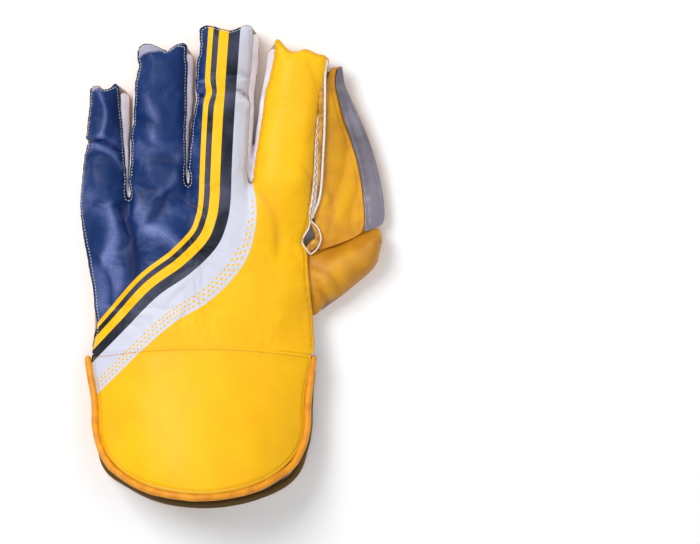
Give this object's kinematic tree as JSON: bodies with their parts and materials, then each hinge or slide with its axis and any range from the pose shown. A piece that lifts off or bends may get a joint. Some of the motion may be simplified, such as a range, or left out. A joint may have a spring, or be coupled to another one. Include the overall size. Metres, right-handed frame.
{
  "type": "wicketkeeping glove",
  "caption": "Left-hand wicketkeeping glove lying palm down, with padded finger stalls, webbed thumb and a two-flap cuff.",
  "frame": {"origin": "under the middle of the glove, on the surface that its palm rests on", "axes": "+Y from the cuff to the fingertips, +X to the thumb side, +Z out of the back of the hand"},
  "size_m": [0.2024, 0.3126, 0.065],
  "materials": {
    "printed_leather": "satin navy leather printed with plain stripes",
    "yellow_leather": "smooth satin yellow leather",
    "palm_rubber": "matt pimpled rubber",
    "pale_leather": "matt pale suede leather",
    "silver_leather": "pearly silver leather",
    "binding": "folded orange-yellow binding",
    "lining": "dark olive-brown cloth"
  },
  "bodies": {
    "root": {"back_panel": "printed_leather", "palm_face": "palm_rubber", "little_ring_gusset": "pale_leather", "ring_middle_gusset": "pale_leather", "middle_index_gusset": "pale_leather", "little_side_strip": "pale_leather", "index_side_strip": "pale_leather", "web_back": "yellow_leather", "web_strip": "silver_leather", "web_face": "palm_rubber", "thumb_back": "yellow_leather", "thumb_face": "palm_rubber", "thumb_side_strip": "silver_leather", "crotch_binding": "binding", "wrist_gusset": "pale_leather", "cuff_back": "yellow_leather", "cuff_palm": "yellow_leather", "cuff_back_lining": "lining", "cuff_palm_lining": "lining", "cuff_back_binding": "binding", "cuff_palm_binding": "binding"}
  },
  "joints": []
}
